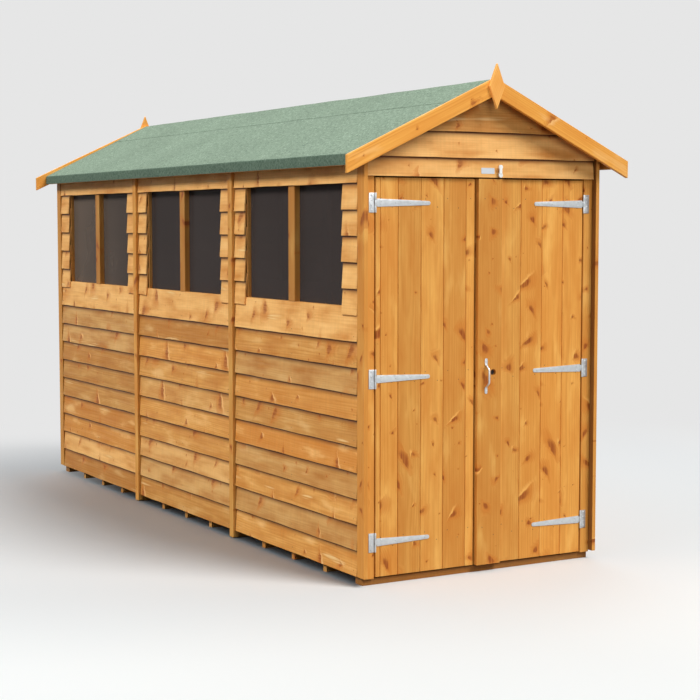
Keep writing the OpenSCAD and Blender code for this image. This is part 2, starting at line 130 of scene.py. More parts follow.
class ShedBoards(bpy.types.PropertyGroup):
    """Sizes of the boards that are laid one by one."""

    course: size("Course", "Height that each lapped board leaves showing", 108.4)
    lap_w: size("Lapped board", "Full width of a lapped board", 143.4)
    lap_t: size("Lapped thickness", "Thickness of a lapped board, which seats on the one below", 7.8)
    lap_proud: size("Butt", "How far a lapped board's lower edge stands off the frame", 18.0)
    lap_lean: size("Lean", "How far a lapped board's top edge lies behind its lower edge", 10.5)
    shrink: size("Shrinkage", "Gap that drying has opened between floor, roof or door boards", 0.4)
    end_gap: size("End gap", "Gap between a lapped board's end and the strip beside it", 5.0)
    ragged: size("Ragged ends", "How far the sawn ends beside the windows stray", 3.0)
    wane: size("Wane", "How far a lapped board's lower edge strays from straight", 1.3)
    edge: size("Arris", "Rounding of sawn edges", 1.2)
    planed_edge: size("Planed arris", "Rounding of planed edges", 1.92)
    leaf_w: size("Door board", "Width of a door board between its joints", 112.0)
    hinge_rip: size("Ripped board", "Width of the ripped board at the left leaf's hinge edge", 23.0)
    left_rip: size("Left leaf's rip", "Width of the ripped board at the left leaf's meeting edge", 45.0)
    right_rip: size("Right leaf's rip", "Width of the ripped board at the right leaf's hinge edge", 108.0)
    groove: size("V joint", "Chamfer on the front edges of the door boards", 3.0)
    roof_w: size("Roof board", "Width of a roof board", 101.0)
    deck_w: size("Floor board", "Width of a floor board", 116.0)
    nail_r: size("Nail head", "Radius of a nail head", 2.3)
    screw_r: size("Screw head", "Radius of a screw head on the hinges", 3.6)


class ShedFinishes(bpy.types.PropertyGroup):
    """Colours of the timber, the felt and the fittings."""

    planed_early: colour("Planed earlywood", "Pale wood of the planed boards", 0xE6A44D)
    planed_late: colour("Planed latewood", "Dark growth rings of the planed boards", 0xC67A2B)
    planed_stain: colour("Planed stain", "Where the planed boards took up more stain", 0xD08230)
    planed_pale: colour("Planed pale", "Pale streaks of the planed boards", 0xF1B760)
    barge_early: colour("Barge earlywood", "Pale wood of the barge boards and finials", 0xF1AD4D)
    barge_late: colour("Barge latewood", "Dark growth rings of the barge boards and finials", 0xD7862C)
    barge_stain: colour("Barge stain", "Where the barge boards took up more stain", 0xDF9036)
    sawn_early: colour("Sawn earlywood", "Pale wood of the sawn frame timbers", 0xC08A48)
    sawn_late: colour("Sawn latewood", "Dark growth rings of the sawn frame timbers", 0x9A6528)
    lapped_early: colour("Lapped earlywood", "Pale wood of the lapped boards", 0xE5A657)
    lapped_late: colour("Lapped latewood", "Dark growth rings of the lapped boards", 0xC27E30)
    lapped_stain: colour("Lapped stain", "Where the lapped boards took up more stain", 0xC07426)
    lapped_pale: colour("Lapped pale", "Pale streaks of the lapped boards", 0xF5C079)
    lapped_flare: colour("Lapped flare", "Cream wood laid bare by the saw on the lapped boards", 0xFBDC9C)
    # Painted shade: the dark colour laid under each lap and on timbers that lie in shade
    lap: colour("Lap", "Stain and dust gathered under the laps", 0x4A2002)
    halo: colour("Knot halo", "Resin-rich wood round a knot", 0xC46C1C)
    knot: colour("Knot", "Heart of a knot", 0x8A3C08)
    lock: colour("Lock", "Black varnish of the lock", 0x241C16)
    felt_pale: colour("Felt grit", "Pale mineral grit", 0x9DAF9B)
    felt_green: colour("Felt", "Mean green of the felt", 0x7F907D)
    felt_dark: colour("Felt shade", "Dark grit and bitumen between the grains", 0x4B5E4E)
    zinc: colour("Zinc", "Bright zinc plate", 0xCDD1D3)
    white: colour("White plastic", "Moulded white plastic", 0xF1F1EE)
    plate: colour("Name plate", "Bare aluminium plate", 0xC9CFD6)
    nail: colour("Nail", "Steel nail heads", 0x7A5A3C)
    glass: colour("Glazing", "Tint of the window sheets", 0x8A8078)
    # Painted shade: a dull dark film that stands in for the dark room seen through the sheets
    pane_shade: colour("Haze", "Dull film on the window sheets", 0x554C49)
    # Painted reflection: the film turns lighter towards the back
    dust: colour("Dust", "Film on the window sheets towards the back, where dust has settled", 0x8C7A6B)


class ShedStage(bpy.types.PropertyGroup):
    """Camera, light and floor."""

    camera_at: place("Camera", "Place of the camera", (-3.866, -7.408, 1.494))
    camera_turn: angle("Turn", "How far the camera turns from +Y towards +X", 29.83)
    camera_dip: angle("Dip", "How far the camera looks down", 4.51)
    lens: amount("Lens", "Focal length in millimetres on a 36 mm sensor", 82.1)
    sky: amount("Sky", "Strength of the soft light overhead", 0.38)
    rim: amount("Horizon", "Strength of the soft light at eye level", 0.15)
    key: amount("Key", "Strength of the key light from the right", 2.75)
    fill: amount("Fill", "Strength of the high light on the window side", 2.72)
    rear: amount("Rear", "Strength of the wide light from behind", 0.5)
    gable: amount("Gable", "Power of the soft box in front of the gable", 46.0)
    gable_at: place("Soft box", "Place of the soft box in front of the gable", (-1.1, -5.4, 2.6))
    gable_w: size("Soft box's width", "Width of the soft box in front of the gable", 1600)
    backdrop: colour("Backdrop", "Pale studio backdrop", 0xE6E6E6)
    floor: colour("Floor", "Pale studio floor", 0xE7E9EB)
    # Painted light: the floor turns paler further from the shed
    apron: colour("Apron", "Floor in front of the shed", 0xFAFBFB)
    bounce: colour("Bounce", "Tone that the floor throws back at the object", 0x989898)
    floor_r: size("Floor's radius", "Radius of the floor", 60000)
    fade_at: place("Fade from", "Point from which the floor's fade is measured", (0, -1.5, 0))
    fade: place("Fade", "Distances between which the floor turns into the backdrop", (2.2, 5.5))
    # Where the painted light on the floor begins and ends
    apron_at: place("Apron from", "Point from which the apron's reach is measured", (0, 1.5, 0))
    apron_span: place("Apron's span", "Distances between which the floor turns into the apron", (3.2, 4.6))


# Shaping

def timber_mesh(bm):
    """Let a bmesh carry each timber's own grain, tone and lap, which places the painted shade under the laps.
    """
    bm.verts.layers.float_vector.new("grain")
    bm.verts.layers.float.new("tone")
    bm.verts.layers.float.new("lap")
    return bm


def merged(node):
    """Bmesh copy of a CAD node, with its loose triangles joined into flat faces."""
    mesh = frame["nodes"][node].data.copy()
    if "custom_normal" in mesh.attributes:
        mesh.attributes.remove(mesh.attributes["custom_normal"])
    bm = bmesh.new()
    bm.from_mesh(mesh)
    bpy.data.meshes.remove(mesh)
    bmesh.ops.remove_doubles(bm, verts=bm.verts, dist=WELD)
    bmesh.ops.dissolve_limit(bm, angle_limit=FLAT, verts=bm.verts, edges=bm.edges)
    for face in bm.faces:
        face.material_index = 0
    return bm


def islands(bm):
    """Vertices of each loose solid, in the order of their lowest corners."""
    left = set(bm.verts)
    found = []
    for start in bm.verts:
        if start not in left:
            continue
        left.discard(start)
        group = [start]
        for vert in group:
            for edge in vert.link_edges:
                other = edge.other_vert(vert)
                if other in left:
                    left.discard(other)
                    group.append(other)
        found.append(group)
    return sorted(found, key=lambda group: corners(group)[0][:])


def corners(verts):
    """Lowest and highest corner of some vertices, to a tenth of a millimetre."""
    spans = [[round(vert.co[axis], 4) for vert in verts] for axis in range(3)]
    return Vector([min(span) for span in spans]), Vector([max(span) for span in spans])


def solids(node):
    """Boxes of the separate solids of a CAD node."""
    bm = merged(node)
    boxes = [corners(group) for group in islands(bm)]
    bm.free()
    return boxes


def made_of(kind, parts):
    """Those of some mesh parts that are of one kind."""
    return [part for part in parts if isinstance(part, kind)]


def edges_along(bm, axis, over):
    """Edges that run further than a length along an axis."""
    return [edge for edge in bm.edges if abs(edge.verts[0].co[axis] - edge.verts[1].co[axis]) > over]


def write_grain(bm, verts, along, through, middle, rng, shade=None):
    """Give a board its place in a log, as grain coordinates in metres, and a tone, drawn if not given."""
    grain = bm.verts.layers.float_vector["grain"]
    tone = bm.verts.layers.float["tone"]
    drawn = rng.random()
    across = through.cross(along)
    start = Vector((rng.uniform(0, 40), rng.uniform(-0.05, 0.05), rng.uniform(0.02, 0.07)))
    for vert in verts:
        off = vert.co - middle
        vert[grain] = Vector((off.dot(along), off.dot(across), off.dot(through))) + start
        vert[tone] = drawn if shade is None else shade


def dull(bm, under, where=lambda co: True):
    """Paint shade onto a timber, at some places or all over, as if the lap line lay that far above it."""
    lap = bm.verts.layers.float["lap"]
    for vert in bm.verts:
        if where(vert.co):
            vert[lap] = LAP_AT - under


def append(group, bm):
    """Move what is in one bmesh into another."""
    mesh = bpy.data.meshes.new("offcut")
    bm.to_mesh(mesh)
    bm.free()
    group.from_mesh(mesh)
    bpy.data.meshes.remove(mesh)


def round_edges(bm, edges, width, segments=2):
    """Round or chamfer some edges."""
    bmesh.ops.bevel(bm, geom=list(edges), offset=width, offset_type="OFFSET", segments=segments,
                    profile=0.5, affect="EDGES", clamp_overlap=True, material=-1)


def sharp_edges(bm):
    """Edges where two faces meet at a clear angle."""
    return [edge for edge in bm.edges if len(edge.link_faces) == 2 and edge.calc_face_angle() > SHARP]


def trim(bm, point, normal):
    """Saw off what lies past a plane and close the cut."""
    cut = bmesh.ops.bisect_plane(bm, geom=bm.verts[:] + bm.edges[:] + bm.faces[:], dist=WELD,
                                 plane_co=point, plane_no=normal, clear_outer=True)
    bmesh.ops.holes_fill(bm, edges=made_of(bmesh.types.BMEdge, cut["geom_cut"]), sides=0)


def board_axes(along, through, middle):
    """Matrix that takes a board's own length, width and thickness to its place."""
    axes = Matrix((along, through.cross(along), through)).transposed().to_4x4()
    axes.translation = middle
    return axes


def facing(out, at):
    """Matrix that sets what is modelled along Z on a face."""
    axes = out.to_track_quat("Z", "Y").to_matrix().to_4x4()
    axes.translation = at
    return axes


def lay_board(group, dims, axes, rng, edge, cuts=0, wane=0.0, groove=0.0, saw=(), lap_line=None, shade=None):
    """Append one board: dims run along, across and through the grain. A lap line is how far up the board the
    next one ends."""
    waves = (620 * MM, 270 * MM)
    bm = timber_mesh(bmesh.new())
    bmesh.ops.create_cube(bm, size=1.0)
    bmesh.ops.scale(bm, vec=dims, verts=bm.verts)
    if groove:
        front = [e for e in edges_along(bm, 0, WELD) if e.verts[0].co.z > 0]
        round_edges(bm, front, groove, segments=1)
        edge = min(edge, groove / 3)
    round_edges(bm, sharp_edges(bm), edge)
    if cuts:
        bmesh.ops.subdivide_edges(bm, edges=edges_along(bm, 0, dims[0] / 2), cuts=cuts, use_grid_fill=True)
        phases = [rng.uniform(0, math.tau) for _ in waves]
        for vert in bm.verts:
            if vert.co.y < 0:
                swing = [math.sin(vert.co.x * math.tau / wave + phase) for wave, phase in zip(waves, phases)]
                vert.co.y += wane * sum(swing) / 2
    # Painted shade just below where the next board ends, on the outer face only
    if lap_line is not None:
        lap = bm.verts.layers.float["lap"]
        for vert in bm.verts:
            if vert.co.z > 0:
                vert[lap] = LAP_AT + vert.co.y + dims[1] / 2 - lap_line
    bmesh.ops.transform(bm, matrix=axes, verts=bm.verts)
    for point, normal in saw:
        trim(bm, point, normal)
    turn = axes.to_3x3()
    write_grain(bm, bm.verts, turn.col[0], turn.col[2], axes.translation, rng, shade)
    append(group, bm)


def rank(edge):
    """Length of an edge and then the place of its ends, so that one of several equal edges comes first."""
    first, second = [vert.co for vert in edge.verts]
    way = TIES[first.y > 0]
    return [round(value, 4) for value in (edge.calc_length(), first.y, first.dot(way), second.dot(way))]


def dress_timbers(node, edge, shade=None):
    """Timbers of a CAD node with rounded edges, each with its own grain along its longest edge."""
    bm = merged(node)
    round_edges(bm, sharp_edges(bm), edge)
    timber_mesh(bm)
    for group in islands(bm):
        low, high = corners(group)
        # Seeds, and ties between edges or faces, are settled by place, so that each run decides alike
        rng = random.Random(f"{node} {[round(value / MM + 0.2) for value in (*low, *high)]}")
        edges = {edge for vert in group for edge in vert.link_edges}
        longest = max(edges, key=rank)
        along = (longest.verts[1].co - longest.verts[0].co).normalized()
        faces = {face for vert in group for face in vert.link_faces}
        sides = [face for face in faces if abs(face.normal.dot(along)) < 0.1]
        wide = max(sides, key=lambda f: (round(f.calc_area(), 5), round(f.normal.dot(Vector((1, 2, 3))), 3)))
        write_grain(bm, group, along, wide.normal.copy(), (low + high) / 2, rng, shade)
    return bm


def model(bm, name, look):
    """Make a bmesh an object with a finish."""
    mesh = bpy.data.meshes.new(name)
    bm.to_mesh(mesh)
    bm.free()
    mesh.materials.clear()
    mesh.materials.append(finish(look))
    obj = bpy.data.objects.new(name, mesh)
    bpy.context.scene.collection.objects.link(obj)
    return obj


def piece(bm, name, body, look, slot, *nodes, smooth=False):
    """Make a bmesh an object that rides on a body and stands for some CAD nodes."""
    obj = model(bm, name, look)
    for polygon in obj.data.polygons:
        polygon.use_smooth = smooth
    if smooth:
        obj.data.set_sharp_from_angle(angle=SHARP)
    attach(obj, body)
    if nodes:
        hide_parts(*nodes)
    return obj


# Finishes

def add(tree, kind, *inputs, named=None, **settings):
    """Add one node with its settings. Inputs go to the sockets in use, in order, or to named ones, and a node
    given as an input is linked by its first output in use."""
    made = tree.nodes.new("ShaderNode" + kind)
    for name, value in settings.items():
        setattr(made, name, value)
    pairs = list(zip([socket for socket in made.inputs if socket.enabled], inputs))
    pairs += [(made.inputs[name], value) for name, value in (named or {}).items()]
    for socket, value in pairs:
        if isinstance(value, bpy.types.Node):
            value = next(output for output in value.outputs if output.enabled)
        if isinstance(value, bpy.types.NodeSocket):
            tree.links.new(value, socket)
        else:
            socket.default_value = value
    return made


def patches(node, at, spans, detail):
    """Noise with patches that measure so many millimetres along each axis."""
    scale = [1 / (span * MM) if span else 0.0 for span in spans]
    scaled = node("VectorMath", at, scale, operation="MULTIPLY")
    return node("TexNoise", scaled, 1.0, detail)


def clouds(node, span, detail):
    """Even noise over the object's own coordinates."""
    return patches(node, node("TexCoord").outputs["Object"], (span, span, span), detail)


def layered(node, base, layers):
    """Tints laid over a base one after another, each with its share."""
    for share, tint in layers:
        base = node("Mix", share, base, tint, data_type="RGBA")
    return base


def knots(node, grain, cell, share, largest, slash, tilt, pale):
    """Knots strewn over a board, one to a cell at most: round ones, and spikes that lean either way, crisp
    along one side and soft along the other. Cells and the largest radius are in millimetres. Gives how much
    of a knot's heart, of the stained wood round it and of the pale wood beside some of them lies here."""
    # How far outlines fray, in cells, and how far spikes turn, widen from tip to butt and blur on one side
    fray, turns, tip, butt, blur = 0.14, 0.3, 0.4, 1.2, 0.45
    # Where the heart and the halo fade, in radii from the middle, and where the crisp side lies
    heart_at, halo_at, crisp_at = (0.4, 1.0), (0.8, 2.4), (0.6, 1.1)
    round_share, least = 0.25, 0.0005
    ragged = patches(node, grain, (30, 18, 0), 3.0)
    stray = node("VectorMath", ragged.outputs["Color"], (fray, fray, 0), operation="MULTIPLY")
    in_cells = node("VectorMath", grain, (1 / cell / MM, 1 / cell / MM, 0), operation="MULTIPLY")
    at = node("VectorMath", in_cells, stray, operation="ADD")
    cells = node("TexVoronoi", at, 1.0, named={"Randomness": 0.85}, voronoi_dimensions="2D")
    big, side, shape = node("SeparateColor", cells.outputs["Color"]).outputs
    offset = node("VectorMath", at, cells.outputs["Position"], operation="SUBTRACT")
    way = node("Math", node("Math", side, 0.5, operation="SUBTRACT"), operation="SIGN")
    turn = node("MapRange", shape, 0.0, 1.0, -turns, turns)
    lean = node("Math", way, tilt, turn, operation="MULTIPLY_ADD")
    turned = node("VectorRotate", named={"Vector": offset, "Angle": lean}, rotation_type="Z_AXIS")
    x, y, _ = node("SeparateXYZ", turned).outputs
    radius = node("MapRange", big, 0.0, share, largest / cell, least)
    stretch = node("MapRange", shape, round_share, 1.0, 1.0, slash)
    long = node("Math", radius, stretch, operation="MULTIPLY")
    length = node("Math", x, long, operation="DIVIDE")
    grow = node("MapRange", length, -1.0, 1.0, tip, butt)
    wide = node("Math", radius, grow, operation="MULTIPLY")
    width = node("Math", y, wide, operation="DIVIDE")
    soft = node("Math", width, blur, operation="MULTIPLY")
    edge = node("Math", width, soft, operation="MAXIMUM")
    far = node("VectorMath", node("CombineXYZ", length, edge), operation="LENGTH")
    heart = node("MapRange", far, *heart_at, 1.0, 0.0, interpolation_type="SMOOTHSTEP")
    glow = node("MapRange", far, *halo_at, 1.0, 0.0, interpolation_type="SMOOTHSTEP")
    crisp = node("MapRange", width, *crisp_at)
    some = node("Math", side, 1.0 - pale, operation="GREATER_THAN")
    beside = node("Math", crisp, some, operation="MULTIPLY")
    return heart, glow, node("Math", glow, beside, operation="MULTIPLY")


def dipped_softwood(node, hue, hues, spikes, depth, figure, differ, saw_marks=0.0, laps=True, torn=False):
    """Softwood dipped in golden stain. The stain pools in the open earlywood, so boards differ in tone,
    growth rings and fibres streak along them, and knots sit dark in a reddish halo that the rings bend
    round. Rings and fibres are drawn about twice their real width, so that they show at this distance."""
    # Width of a ring, how far rings wander and bend round knots, and how strong rings, fibres and halos are
    ring, wanders, bends, ringed, streaked, halo = 8 * MM, 3.5, 1.6, 0.36, 0.42, 0.5
    early, late, stain, pale = [getattr(hue, name) for name in hues]
    grain = node("Attribute", attribute_name="grain").outputs["Vector"]
    tone = node("Attribute", attribute_name="tone").outputs["Fac"]
    heart, glow, flare = knots(node, grain, *spikes)
    pin, pin_glow, _ = knots(node, grain, *PIN_KNOTS)

    # Growth rings: distance from the pith, which wanders, and which bends round the knots
    drift = patches(node, grain, (800, 100, 100), 1.0)
    section = node("VectorMath", grain, (0, 1 / ring, 1 / ring), operation="MULTIPLY")
    pith = node("VectorMath", section, operation="LENGTH")
    wander = node("Math", drift, wanders, pith, operation="MULTIPLY_ADD")
    bent = node("Math", glow, bends, wander, operation="MULTIPLY_ADD")
    year = node("Math", bent, operation="FRACT")
    summer = node("MapRange", year, 0.2, 0.8, interpolation_type="SMOOTHSTEP")
    winter = node("MapRange", year, 0.8, 1.0, 1.0, 0.0, interpolation_type="SMOOTHSTEP")
    rings = node("Math", summer, winter, operation="MULTIPLY")

    # Fibres, patches where the stain pooled or ran thin, and the saw's marks across the board
    fibre = patches(node, grain, (300, 7, 7), 3.0)
    patch = patches(node, grain, (240, 60, 60), 3.0)
    marks = patches(node, grain, (8, 120, 120), 1.0)
    streak = node("MapRange", fibre, 0.3, 0.75, 0.0, streaked * figure)
    dark = node("Math", rings, ringed * figure, streak, operation="MULTIPLY_ADD")
    pooled = node("MapRange", patch, 0.45, 0.75, 0.0, 0.8)
    thin = node("MapRange", patch, 0.43, 0.25, 0.0, 0.75)

    # Each board's own share of stain, drawn from its tone
    lot = node("Math", node("Math", tone, 17.3, operation="MULTIPLY"), operation="FRACT")
    deep = node("MapRange", lot, 0.5, 1.0, 0.0, 2.4 * differ)
    light = node("MapRange", lot, 0.4, 0.0, 0.0, 2.4 * differ)
    even = node("MapRange", tone, 0.0, 1.0, 1.0 - differ, 1.0 + differ / 2)
    sawn = node("MapRange", marks, *MOST, 1.0 - saw_marks, 1.0 + saw_marks)
    bright = node("Math", even, sawn, operation="MULTIPLY")
    wood = layered(node, early, [(dark, late), (deep, stain), (light, pale), (pooled, stain), (thin, pale)])
    wood = node("VectorMath", wood, bright, operation="SCALE")

    # Halos and flares beside the knots, wood torn by the saw, the knots' hearts, and painted shade under the
    # laps
    warm = node("Math", glow, pin_glow, operation="MAXIMUM")
    layers = [(node("Math", warm, halo, operation="MULTIPLY"), hue.halo), (flare, pale)]
    if torn:
        tear = patches(node, grain, (400, 50, 50), 1.0)
        rim = node("MapRange", tear, 0.62, 0.71, 0.0, 0.2)
        bare = node("MapRange", tear, 0.71, 0.76)
        shreds = node("MapRange", fibre, 0.4, 0.6, 0.6, 0.0)
        layers += [(rim, stain), (node("Math", bare, shreds, operation="MULTIPLY"), hue.lapped_flare)]
    core = node("Math", heart, pin, operation="MAXIMUM")
    frayed = node("MapRange", fibre, 0.35, 0.6, 0.5 * depth, depth)
    layers.append((node("Math", core, frayed, operation="MULTIPLY"), hue.knot))
    # Painted shade, darkest just under each lap line
    if laps:
        under = node("Attribute", attribute_name="lap").outputs["Fac"]
        near = node("MapRange", under, LAP_AT - LAP_REACH, LAP_AT - LAP_REACH / 10)
        layers.append((node("Math", near, 2.0, operation="POWER"), hue.lap))
    wood = layered(node, wood, layers)

    height = node("Math", fibre, 0.6, rings, operation="MULTIPLY_ADD")
    bump = node("Bump", named={"Strength": 0.3, "Distance": 0.5 * MM, "Height": height})
    rough = node("MapRange", fibre, *MOST, 0.5, 0.68)
    return node("BsdfPrincipled", named={"Base Color": wood, "Roughness": rough, "Normal": bump, "IOR": 1.5,
                                         "Specular IOR Level": 0.3})


def mineral_felt(node, hue):
    """Bitumen felt faced with green mineral grit: matt, speckled and a little patchy, and darker in patches
    down the folded eave drops. Grit is drawn at 5 mm, about three times its real size."""
    grit = 5 * MM
    fold = node("Attribute", attribute_name="fold").outputs["Fac"]
    grains = node("TexVoronoi", node("TexCoord").outputs["Object"], 1 / grit)
    pale_lot, dark_lot, _ = node("SeparateColor", grains.outputs["Color"]).outputs
    clump = clouds(node, 13, 3.0)
    light = node("MapRange", pale_lot, 0.55, 1.0, 0.0, 0.75)
    speck = node("MapRange", dark_lot, 0.6, 1.0, 0.0, 0.7)
    patch = node("MapRange", clump, 0.4, 0.7, 0.0, 0.55)
    # Darker in patches down the eave drops
    drop_patches = node("MapRange", clump, 0.35, 0.6, 1.0, 0.4)
    drop_darker = node("Math", fold, drop_patches, operation="MULTIPLY")
    bright = node("MapRange", clouds(node, 400, 2.0), *MOST, 0.93, 1.05)
    dark = [(share, hue.felt_dark) for share in (speck, patch, drop_darker)]
    tint = layered(node, hue.felt_green, [(light, hue.felt_pale), *dark])
    tint = node("VectorMath", tint, bright, operation="SCALE")
    bump = node("Bump", named={"Strength": 0.5, "Distance": 1.5 * MM, "Height": grains.outputs["Distance"]})
    return node("BsdfPrincipled", named={"Base Color": tint, "Normal": bump, "Roughness": 0.95,
                                         "Specular IOR Level": 0.2})


def bright_zinc(node, hue):
    """Electroplated zinc on pressed steel: a pale grey metal, a little cloudy, with a soft sheen."""
    cloud = clouds(node, 12, 3.0)
    rough = node("MapRange", cloud, *MOST, 0.3, 0.48)
    dim = node("MapRange", cloud, *MOST, 0.9, 1.02)
    metal = node("VectorMath", hue.zinc[:3], dim, operation="SCALE")
    return node("BsdfPrincipled", named={"Base Color": metal, "Roughness": rough, "Metallic": 0.85})


def moulded_nylon(node, hue):
    """Injection-moulded nylon: off-white, satin, with a faint orange-peel surface."""
    peel = clouds(node, 2, 1.0)
    rough = node("MapRange", peel, *MOST, 0.34, 0.44)
    bump = node("Bump", named={"Strength": 0.15, "Distance": 0.1 * MM, "Height": peel})
    return node("BsdfPrincipled", named={"Base Color": hue.white, "Roughness": rough, "Normal": bump,
                                         "IOR": 1.53})


def rolled_aluminium(node, hue):
    """Thin rolled aluminium: pale grey, brushed along its length."""
    brush = patches(node, node("TexCoord").outputs["Object"], (30, 1, 1), 2.0)
    rough = node("MapRange", brush, *MOST, 0.35, 0.5)
    return node("BsdfPrincipled", named={"Base Color": hue.plate, "Roughness": rough, "Metallic": 0.7})


def wire_steel(node, hue):
    """Nail heads of plain wire steel, browned by the dip: dull and uneven."""
    dim = node("MapRange", clouds(node, 50, 2.0), *MOST, 0.6, 1.2)
    metal = node("VectorMath", hue.nail[:3], dim, operation="SCALE")
    return node("BsdfPrincipled", named={"Base Color": metal, "Roughness": 0.55, "Metallic": 0.4})


def japanned_steel(node, hue):
    """Black varnish baked on sheet steel: dark and satin, a little uneven where it pooled."""
    rough = node("MapRange", clouds(node, 4, 1.0), *MOST, 0.45, 0.65)
    return node("BsdfPrincipled", named={"Base Color": hue.lock, "Roughness": rough})


def styrene_sheet(node, hue):
    """Clear styrene glazing: grey, with a very slight ripple that breaks up its shine, under a dull dark film
    of painted shade that stands in for the dark inside, lighter towards the back as a painted reflection. Its
    index is drawn low, so that a pale room doesn't veil the dark inside."""
    lighter_from = 400 * MM
    ripple = clouds(node, 350, 1.0)
    bump = node("Bump", named={"Strength": 0.1, "Distance": 1 * MM, "Height": ripple})
    clear = node("BsdfPrincipled", named={"Base Color": hue.glass, "Normal": bump, "Roughness": 0.04,
                                          "IOR": 1.08, "Transmission Weight": 1.0})
    along = node("SeparateXYZ", node("TexCoord").outputs["Object"]).outputs["Y"]
    # The film is painted shade, and lighter towards the back as a painted reflection
    settled = node("MapRange", along, lighter_from, BACK)
    film = node("BsdfDiffuse", layered(node, hue.pane_shade, [(settled, hue.dust)]))
    thick = node("MapRange", ripple, *MOST, 0.45, 0.55)
    return node("MixShader", thick, clear, film)


def seen_by(node):
    """One for what is seen, directly, in a mirror or through glass, and nought for light thrown about."""
    path = node("LightPath").outputs
    mirror = node("Math", path["Is Glossy Ray"], path["Is Transmission Ray"], operation="MAXIMUM")
    return node("Math", path["Is Camera Ray"], mirror, operation="MAXIMUM")


def painted_floor(node, hue):
    """Pale painted floor that keeps the object's shadow and turns into the backdrop far from it, with painted
    light that makes it paler further from the shed. It throws back less light than it shows, so that the laps
    and the eaves keep their own shadows."""
    stage = bpy.context.scene.shed_stage
    at = node("TexCoord").outputs["Object"]
    shares = []
    for centre, span in ((stage.fade_at, stage.fade), (stage.apron_at, stage.apron_span)):
        away = node("VectorMath", at, centre, operation="DISTANCE")
        shares.append(node("MapRange", away, *span, interpolation_type="SMOOTHSTEP"))
    seen = seen_by(node)
    # Painted light: paler further from the shed
    paper = layered(node, stage.floor, [(shares[1], stage.apron)])
    shown = layered(node, stage.bounce, [(seen, paper)])
    paint = node("BsdfPrincipled", named={"Base Color": shown, "Roughness": 0.9, "Specular IOR Level": 0.1})
    glow = node("Emission", stage.backdrop, seen)
    return node("MixShader", shares[0], paint, glow)


# Knots are given as knots() takes them. The grades of dipped softwood have their colours and larger knots,
# how deep these are stained, how strong rings and fibres are, how far the boards differ, and whether saw
# marks, painted shade under the laps and torn wood show.
PIN_KNOTS = (95, 0.4, 4, 1.6, 0.3, 0.0)
GRADES = {
    "planed_softwood": {"hues": ("planed_early", "planed_late", "planed_stain", "planed_pale"),
                        "spikes": (130, 0.9, 15, 4.2, 0.7, 0.3), "depth": 0.9, "figure": 0.8, "differ": 0.15},
    "pale_softwood": {"hues": ("barge_early", "barge_late", "barge_stain", "lapped_pale"),
                      "spikes": (200, 0.9, 15, 3.4, 1.1, 0.4), "depth": 0.7, "figure": 1.15, "differ": 0.15,
                      "laps": False},
    "sawn_softwood": {"hues": ("sawn_early", "sawn_late", "planed_stain", "lapped_early"),
                      "spikes": (170, 0.6, 13, 3.0, 0.6, 0.0), "depth": 0.8, "figure": 1.0, "differ": 0.15,
                      "saw_marks": 0.05},
    "lapped_softwood": {"hues": ("lapped_early", "lapped_late", "lapped_stain", "lapped_pale"),
                        "spikes": (180, 0.95, 19, 3.6, 1.2, 0.4), "depth": 0.75, "figure": 0.95,
                        "differ": 0.25, "saw_marks": 0.03, "torn": True},
}
MAKERS = {name: partial(dipped_softwood, **grade) for name, grade in GRADES.items()}
MAKERS.update(green_mineral_felt=mineral_felt, bright_zinc=bright_zinc, moulded_nylon=moulded_nylon,
              rolled_aluminium=rolled_aluminium, wire_steel=wire_steel, japanned_steel=japanned_steel,
              styrene_sheet=styrene_sheet, painted_floor=painted_floor)


def finish(name):
    """Material by name, made the first time it is asked for."""
    if name not in bpy.data.materials:
        material = bpy.data.materials.new(name)
        material.use_nodes = True
        material.node_tree.nodes.clear()
        node = partial(add, material.node_tree)
        node("OutputMaterial", MAKERS[name](node, bpy.context.scene.shed_finishes))
    return bpy.data.materials[name]


# Operators

class SHED_OT_frame_timbers(bpy.types.Operator):
    """Dress the studs, rails, posts, rafters, purlins, battens and bearers"""

    bl_idname = "shed.frame_timbers"
    bl_label = "Frame timbers"

    def execute(self, context):
        end_w = 100 * MM
        for node in ("floor_bearers", "left_studs", "left_rails", "right_studs", "right_rails", "back_posts",
                     "back_stud", "back_rails", "door_head", "left_gable_rafters", "right_gable_rafters",
                     "roof_purlins", "eave_battens"):
            bm = dress_timbers(node, context.scene.shed_boards.edge)
            if node == "floor_bearers":
                # Painted shade on the bearers under the two ends, which lie back in the shade under the walls
                dull(bm, 12 * MM, lambda co: abs(co.y) > BACK - end_w)
            piece(bm, f"{node}_timber", "shed", "sawn_softwood", "sawn_timber", node)
        return {"FINISHED"}


class SHED_OT_trim_timbers(bpy.types.Operator):
    """Dress the strips, door posts, window posts, barge boards and finials"""

    bl_idname = "shed.trim_timbers"
    bl_label = "Strips and barge boards"

    def execute(self, context):
        edge = context.scene.shed_boards.planed_edge
        # How far under the lap line each is taken to lie, and so how much shade is painted on it
        under = {"left_joint_strips": 22 * MM, "right_joint_strips": 22 * MM, "corner_strips": 21 * MM,
                 "door_posts": LAP_REACH, "window_mullions": 16 * MM}
        for node, depth in under.items():
            # The mullions also take the deep tone, which darkens them as painted shade
            bm = dress_timbers(node, edge, DEEP if node == "window_mullions" else None)
            dull(bm, depth)
            if node == "corner_strips":
                # Painted shade on the strips' sides beside the doors, which face away from the key light
                dull(bm, 6 * MM, lambda co: abs(co.x) < RIGHT + 0.1 * MM and co.y < 0)
            piece(bm, f"{node}_timber", "shed", "planed_softwood", "timber", node)
        for node, shade in (("left_barge_boards", EVEN), ("right_barge_boards", EVEN), ("finials", PALE)):
            piece(dress_timbers(node, edge, shade), f"{node}_timber", "shed", "pale_softwood", "timber", node)
        return {"FINISHED"}


